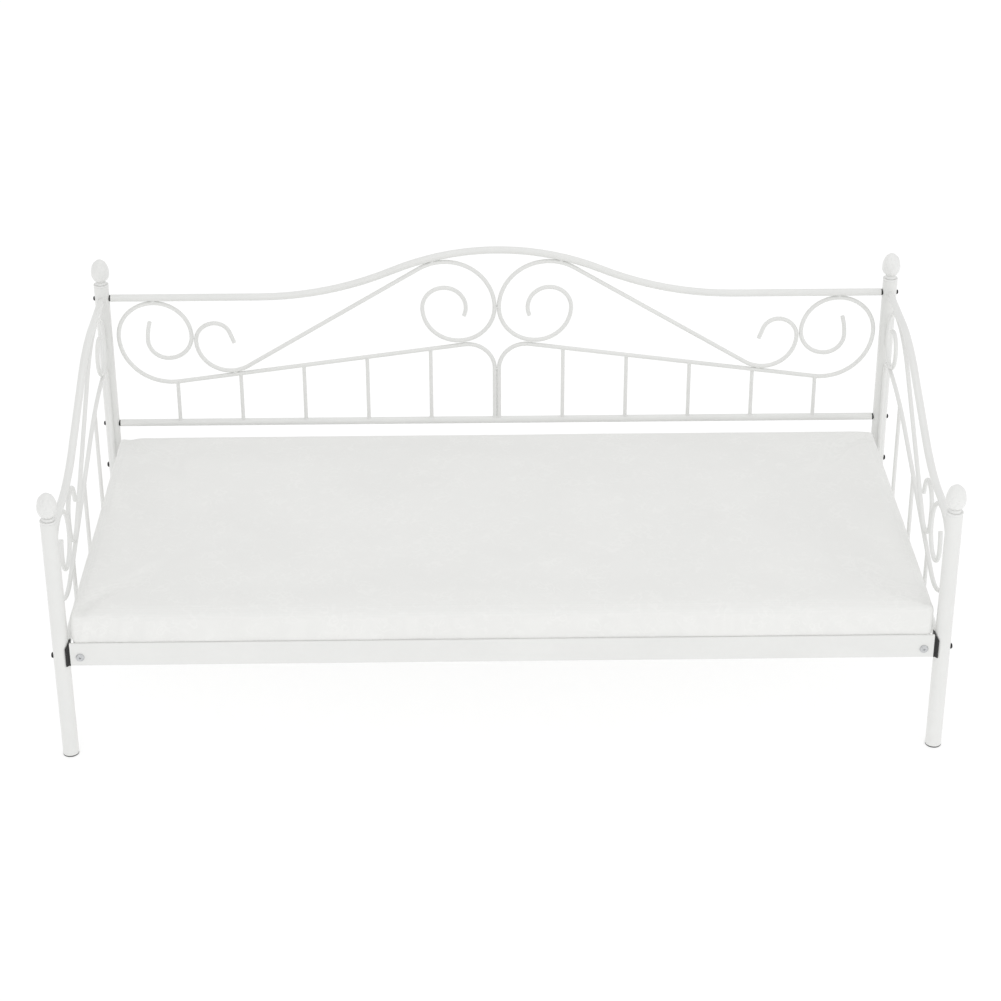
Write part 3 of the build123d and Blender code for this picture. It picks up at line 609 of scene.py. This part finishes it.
# %% One finial for each post
CORNERS = ("front_left", "front_right", "rear_left", "rear_right")
for corner in CORNERS:
    node_name = "finial_" + corner
    low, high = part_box(node_name)
    place = Vector(((low.x + high.x) / 2, (low.y + high.y) / 2, low.z))
    shift = Matrix.Translation(place - Vector((egg_middle.x, egg_middle.y, EGG_BASE)))
    twin = copy_of(finial, "finial_cast_" + corner, shift)
    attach(twin, "frame")
    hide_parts(node_name)
bpy.data.objects.remove(finial)
print("finials on", len(CORNERS), "posts")

# %% [markdown]
# ## The bolts
# The deck bolts are low domes with a hexagon socket for a key, which is how such a bed is put
# together. A bolt starts as a short cylinder. Its top edge is bevelled into a dome, a six-sided
# cutter sinks the socket, and the shank is drawn down from the underside.


# %% One bolt, standing on the origin with its shank pointing down
def make_bolt(name, head_radius, head_height, socket, shank_radius, shank_length):
    clear_hands()
    bpy.ops.mesh.primitive_cylinder_add(
        vertices=32, radius=head_radius, depth=head_height, location=(0, 0, head_height / 2)
    )
    bolt = bpy.context.object
    bolt.name = name
    settle(bolt)
    pick(bolt, lambda face: face.normal.z > 0.9)
    bpy.ops.mesh.bevel(offset=head_height * 0.8, offset_type="OFFSET", segments=5, profile=0.5)
    leave()
    pick(bolt, lambda face: face.normal.z < -0.9)
    bpy.ops.mesh.inset(thickness=head_radius - shank_radius, depth=0)
    bpy.ops.mesh.extrude_region_move(TRANSFORM_OT_translate={"value": (0, 0, -shank_length)})
    bpy.ops.mesh.bevel(offset=shank_radius * 0.25, segments=1)
    leave()
    clear_hands()
    bpy.ops.mesh.primitive_cylinder_add(
        vertices=6, radius=socket / math.sqrt(3), depth=head_height, location=(0, 0, head_height * 0.85)
    )
    cutter = bpy.context.object
    settle(cutter)
    finish_with(bolt, "BOOLEAN", operation="DIFFERENCE", object=cutter, solver="EXACT")
    bpy.data.objects.remove(cutter)
    face_outward(bolt)
    smooth(bolt, 35)
    return bolt


def seat_bolts(bolt, seats, name, replaced, slot):
    """Copies the bolt to each seat, given as a point and the way its head looks."""
    made = []
    for index, (point, outward) in enumerate(seats):
        turn = Vector(outward).to_track_quat("Z", "Y").to_matrix().to_4x4()
        made.append(copy_of(bolt, name + "_" + str(index), Matrix.Translation(point) @ turn))
    bpy.data.objects.remove(bolt)
    group = join(made, name)
    dress(group, slot)
    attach(group, "frame")
    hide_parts(replaced)
    count(group)
    return group


# %% Where the bolts sit
low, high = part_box("rail_bolts")
HEAD = 0.0035
rail_middle = (low.z + high.z) / 2
seats = [
    ((side * (high.x - 0.01), way * (high.y - HEAD), rail_middle), (0, way, 0))
    for side in (-1, 1)
    for way in (-1, 1)
]
bolt = make_bolt(
    "rail_bolt", head_radius=0.01, head_height=HEAD, socket=0.0055, shank_radius=0.004, shank_length=0.014
)
seat_bolts(bolt, seats, "rail_bolt_heads", "rail_bolts", "zinc_bolt")

low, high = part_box("post_bolts")
HEAD = 0.0045
seats = [
    ((side * (high.x - HEAD), way * (high.y - 0.007), (low.z + high.z) / 2), (side, 0, 0))
    for side in (-1, 1)
    for way in (-1, 1)
]
bolt = make_bolt(
    "post_bolt", head_radius=0.007, head_height=HEAD, socket=0.0042, shank_radius=0.004, shank_length=0.053
)
seat_bolts(bolt, seats, "post_bolt_heads", "post_bolts", "black_bolt")

low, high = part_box("panel_bolts")
HEAD = 0.004
seats = [
    ((side * (high.x - HEAD), high.y - 0.006, level), (side, 0, 0))
    for side in (-1, 1)
    for level in (low.z + 0.006, high.z - 0.006)
]
shank = min(abs(v.co.x) for v in nodes["panel_bolts"].data.vertices)
bolt = make_bolt(
    "panel_bolt",
    head_radius=0.006,
    head_height=HEAD,
    socket=0.0036,
    shank_radius=0.003,
    shank_length=high.x - HEAD - shank,
)
seat_bolts(bolt, seats, "panel_bolt_heads", "panel_bolts", "black_bolt")

# %% [markdown]
# ## The weld beads
# Wherever a wire meets a rail, a bar or another wire, it is held by a small weld that the powder
# has rounded over. The meeting places are found from the parts themselves: points of one part that
# lie within a hair of another are gathered, and one bead is laid at the middle of each gathering.

# %% Find the meeting places
WELD_GAP = 0.0009
GATHER = 0.022


def skin(node_name):
    mesh = nodes[node_name].data
    corners = [v.co.copy() for v in mesh.vertices]
    return BVHTree.FromPolygons(corners, [list(face.vertices) for face in mesh.polygons])


def meetings(first, second_skin):
    """Middles of the places where one part comes within a hair of another."""
    gathered = []
    for v in nodes[first].data.vertices:
        spot, _, _, gap = second_skin.find_nearest(v.co, WELD_GAP)
        if spot is None:
            continue
        for group in gathered:
            if (group[0] - v.co).length < GATHER:
                group.append(v.co.copy())
                break
        else:
            gathered.append([v.co.copy()])
    middles = []
    for group in gathered:
        middles.append(sum(group, Vector()) / len(group))
    return middles


families = {
    "back": [n for n in nodes if n.startswith("back_") and "spacer" not in n and "insert" not in n],
    "left": [n for n in nodes if n.startswith("side_") and n.endswith("left")],
    "right": [n for n in nodes if n.startswith("side_") and n.endswith("right")],
}
posts = {
    "left": ["post_front_left", "post_rear_left"],
    "right": ["post_front_right", "post_rear_right"],
    "back": [],
}
welds = {}
for family, members in families.items():
    spots = []
    members = sorted(members)
    for index, first in enumerate(members):
        for second in members[index + 1 :] + posts[family]:
            for spot in meetings(first, skin(second)):
                if all((spot - other).length > 0.008 for other in spots):
                    spots.append(spot)
    welds[family] = spots
    print("welds on", family, len(spots))

# %% [markdown]
# A bead is a small flattened lump. One ball is squashed, roughened and eased, and a copy goes to
# every meeting place of a panel. The copies of one panel are joined, because they are one job.

# %% Lay the beads
BEAD_RADIUS = 0.0066
clear_hands()
bpy.ops.mesh.primitive_ico_sphere_add(subdivisions=2, radius=BEAD_RADIUS)
bead = bpy.context.object
pick(bead, lambda face: True)
bpy.ops.transform.resize(value=(1, 1, 0.62))
bpy.ops.transform.vertex_random(offset=0.0004, seed=7)
bpy.ops.mesh.vertices_smooth(factor=0.5, repeat=1)
leave()
smooth(bead, 80)
for family, spots in welds.items():
    if not spots:
        continue
    beads = []
    for index, spot in enumerate(spots):
        turn = Matrix.Rotation(index * 2.4, 4, "Z")
        beads.append(copy_of(bead, "bead_" + family + str(index), Matrix.Translation(spot) @ turn))
    run = join(beads, "weld_beads_" + family)
    dress(run, "white_powder_coat")
    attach(run, "frame")
    count(run)
bpy.data.objects.remove(bead)

# %% [markdown]
# ## The mattress
# A foam block in a stretched knit cover isn't a box. Its borders belly out at half height, its top
# edge is a soft roll, its corners pull in, and it lies flat only where the slats carry it. The
# block is cut a little small, remeshed evenly and blown up a few millimetres as cloth with its
# underside held. A cap on the movement keeps the foam's shape.

# %% Cut the block a little small
block_low, block_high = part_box("mattress_cover")
SWELL = 0.003
middle = (block_low + block_high) / 2
size = block_high - block_low
clear_hands()
bpy.ops.mesh.primitive_cube_add(
    size=1,
    location=(middle.x, middle.y, middle.z - SWELL / 2),
    scale=(size.x - 2 * SWELL, size.y - 2 * SWELL, size.z - SWELL),
)
mattress = bpy.context.object
mattress.name = "mattress_padded"
settle(mattress)


def bevel_edges(piece, test, width, segments):
    take(piece)
    mesh = piece.data
    for part in (mesh.vertices, mesh.edges, mesh.polygons):
        part.foreach_set("select", [False] * len(part))
    for edge in mesh.edges:
        first, second = (mesh.vertices[i].co for i in edge.vertices)
        edge.select = test(first, second)
    bpy.context.tool_settings.mesh_select_mode = (False, True, False)
    bpy.ops.object.mode_set(mode="EDIT")
    bpy.ops.mesh.bevel(offset=width, offset_type="OFFSET", segments=segments, profile=0.5)
    leave()


CORNER_ROLL = 0.016
TOP_ROLL = 0.013
BOTTOM_ROLL = 0.008
VOXEL = 0.01
top_level = block_high.z - SWELL
bevel_edges(mattress, lambda a, b: abs(a.z - b.z) > 0.05, CORNER_ROLL, 5)
bevel_edges(mattress, lambda a, b: min(a.z, b.z) > top_level - 0.001, TOP_ROLL, 4)
bevel_edges(mattress, lambda a, b: max(a.z, b.z) < block_low.z + 0.001, BOTTOM_ROLL, 3)
mattress.data.remesh_voxel_size = VOXEL
take(mattress)
bpy.ops.object.voxel_remesh()
print("block", len(mattress.data.vertices), "points")

# %% Blow it up as cloth, with its underside held
CAP = 0.0045
PRESSURE = 4
LAST_FRAME = 20
HELD = "underside"
group = mattress.vertex_groups.new(name=HELD)
group.add([v.index for v in mattress.data.vertices if v.co.z < block_low.z + 0.006], 1.0, "REPLACE")
before = [v.co.copy() for v in mattress.data.vertices]
take(mattress)
cloth_modifier = mattress.modifiers.new("Swell", "CLOTH")
cloth_settings = cloth_modifier.settings
cloth_settings.quality = 4
cloth_settings.mass = 0.25
cloth_settings.tension_stiffness = 12
cloth_settings.compression_stiffness = 12
cloth_settings.bending_stiffness = 0.4
cloth_settings.use_pressure = True
cloth_settings.uniform_pressure_force = PRESSURE
cloth_settings.vertex_group_mass = HELD
cloth_settings.effector_weights.gravity = 0
cloth_modifier.collision_settings.use_collision = False
for step in range(1, LAST_FRAME + 1):
    scene.frame_set(step)
bpy.ops.object.modifier_apply(modifier="Swell")
moved = 0
for v, start in zip(mattress.data.vertices, before):
    way = v.co - start
    if way.length > CAP:
        v.co = start + way.normalized() * CAP
        moved += 1
print("held back", moved, "points to", CAP)
scene.frame_set(1)

# %% Ease the broad top and refine the net
broad = mattress.vertex_groups.new(name="broad")
for v in mattress.data.vertices:
    from_side = min(v.co.x - block_low.x, block_high.x - v.co.x)
    inset = min(from_side, v.co.y - block_low.y, block_high.y - v.co.y)
    if v.co.z > middle.z:
        broad.add([v.index], min(1.0, max(0.0, (inset - 0.02) / 0.03)), "REPLACE")
finish_with(mattress, "SMOOTH", factor=0.6, iterations=25, vertex_group="broad")
finish_with(mattress, "SMOOTH", factor=0.5, iterations=1)
finish_with(mattress, "SUBSURF", levels=1, render_levels=1)

# %% [markdown]
# The cover is cut with a little spare cloth, so it drags: short slanting creases along the
# borders, a dip that runs in from each corner where the foam is pulled down, and an edge that
# wavers by a millimetre or two. These are moved in code, after the blowing up. The
# borders stop at the rail in front and at the side panels, and the cover sits on the rail's edge.

# %% Room for the cover, and the sizes of its creases
RAIL_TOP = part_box("front_rail")[1].z
RAIL_INSIDE = 0.4812
OVER_RAIL = 0.4834
BED_SIDE = 1.0005
WIDEST = 1.0045
CREASE_HEIGHT = 0.0012
CREASE_TURNS = 62.0
DIP_DEPTH = 0.012
DIP_LENGTH = 0.13
DIP_WIDTH = 0.022
WAVER = 0.0018
half_x = size.x / 2
print("rail top", round(RAIL_TOP, 4), "cover may reach", WIDEST, OVER_RAIL)


# %% Creases and corner dips
def crease(along, level, seed):
    """A slanting fold on a border, in metres outward."""
    lean = noise.noise(Vector((along * 2.1, seed, 0.3))) * 1.6
    sway = noise.noise(Vector((along * 6.0, level * 9.0, seed))) * 2.2
    ridge = math.sin((along + level * lean) * CREASE_TURNS + sway * 2.0)
    strength = 0.5 + 0.5 * noise.noise(Vector((along * 3.7, seed + 5.0, 0.0)))
    sharp = abs(ridge) ** 0.7 * (1 if ridge > 0 else -1)
    return sharp * strength * CREASE_HEIGHT


def corner_dip(x, y):
    """A shallow valley running in from each corner of the top."""
    deep = 0.0
    for side in (-1, 1):
        for way, edge in ((-1, block_low.y), (1, block_high.y)):
            run_in = (half_x - side * x, (edge - y) * way)
            along = (run_in[0] + run_in[1]) / 2
            across = (run_in[0] - run_in[1] * 0.85) / 1.3
            across += 0.012 * math.sin(along * 40 + side)
            if along > 0:
                fade = math.exp(-((along / DIP_LENGTH) ** 2)) * min(1.0, along / 0.02)
                deep += fade * math.exp(-((across / DIP_WIDTH) ** 2))
    return deep * DIP_DEPTH


# %% [markdown]
# Remeshing, blowing up and easing leave the block a little off its size, with faint ripples along
# the edges of its top. A real cover is pulled flat over foam that is cut to size. So the block is
# stretched back to the room it has, and most of the ripple is pressed out of its top.

# %% Stretch to size and press the top flat
PRESS_FROM = 0.012
PRESS_OVER = 0.012
PRESS_SHARE = 0.85
TOP_SETTLE = 0.0008
mesh = mattress.data
reach_x = max(abs(v.co.x) for v in mesh.vertices)
front = min(v.co.y for v in mesh.vertices)
back = max(v.co.y for v in mesh.vertices)
top = max(v.co.z for v in mesh.vertices)
plateau = block_high.z - 0.0005
face_y = OVER_RAIL - 0.0014
for v in mesh.vertices:
    v.co.x *= (WIDEST - 0.0015) / reach_x
    v.co.y = -face_y + (v.co.y - front) / (back - front) * (face_y + block_high.y)
    v.co.z = block_low.z + (v.co.z - block_low.z) / (top - block_low.z) * (plateau - block_low.z)
    inset = min(half_x - abs(v.co.x), v.co.y + face_y, block_high.y - v.co.y)
    if v.co.z > middle.z:
        share = min(1.0, max(0.0, (inset - PRESS_FROM) / PRESS_OVER)) * PRESS_SHARE
        v.co.z += (plateau - TOP_SETTLE - v.co.z) * share
mesh.update()
finish_with(mattress, "SMOOTH", factor=0.5, iterations=2)
print("stretched from", round(reach_x, 4), "to", WIDEST - 0.0015)

# %% Work out how each point moves
mesh = mattress.data
moves = []
for v in mesh.vertices:
    x, y, z = v.co
    rise = (z - block_low.z) / size.z
    flank = max(0.0, 1.0 - abs(v.normal.z) * 1.25)
    push = Vector((0, 0, 0))
    belly = math.sin(math.pi * min(1.0, max(0.0, rise)))
    if abs(v.normal.y) >= abs(v.normal.x):
        push += v.normal * flank * belly * crease(x, z, 2.0 if y < 0 else 9.0)
    else:
        push += v.normal * flank * belly * crease(y, z, 17.0 if x < 0 else 23.0)
    waver = noise.noise(Vector((x * 7.0, y * 7.0, 4.0))) * WAVER
    push += v.normal * flank * waver
    if v.normal.z > 0.2:
        crown = (1 - (x / half_x) ** 4) * (1 - ((y - middle.y) / (size.y / 2)) ** 4)
        cloud = noise.noise(Vector((x * 3.4, y * 3.4, 1.0))) * 0.0014
        ripple = noise.noise(Vector((x * 11.0, y * 11.0, 6.0))) * 0.0005
        push.z += v.normal.z * (0.0015 * crown + cloud + ripple - corner_dip(x, y))
    moves.append(push)
print("largest move", round(max(push.length for push in moves), 4))

# %% Move the points, and keep them off the rail and the side panels
SEAT = 0.004
PINCH_HEIGHT = 0.02
for v, push in zip(mesh.vertices, moves):
    v.co += push
    v.co.z = max(v.co.z, block_low.z)
    tuck = min(1.0, max(0.0, (RAIL_TOP + SEAT - v.co.z) / SEAT))
    v.co.y = max(v.co.y, -OVER_RAIL + (OVER_RAIL - RAIL_INSIDE) * tuck)
    low = min(1.0, max(0.0, (RAIL_TOP + PINCH_HEIGHT - v.co.z) / PINCH_HEIGHT))
    pinch = WIDEST - (WIDEST - BED_SIDE + 0.003) * low
    v.co.x = max(-pinch, min(pinch, v.co.x))
mesh.update()

# %% Dress the mattress
smooth(mattress, 180)
dress(mattress, "white_cover")
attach(mattress, "mattress")
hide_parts("mattress_cover", "mattress_core")
count(mattress)
print("mattress box", [round(max(v.co[i] for v in mesh.vertices), 4) for i in range(3)])
print("mattress low", [round(min(v.co[i] for v in mesh.vertices), 4) for i in range(3)])
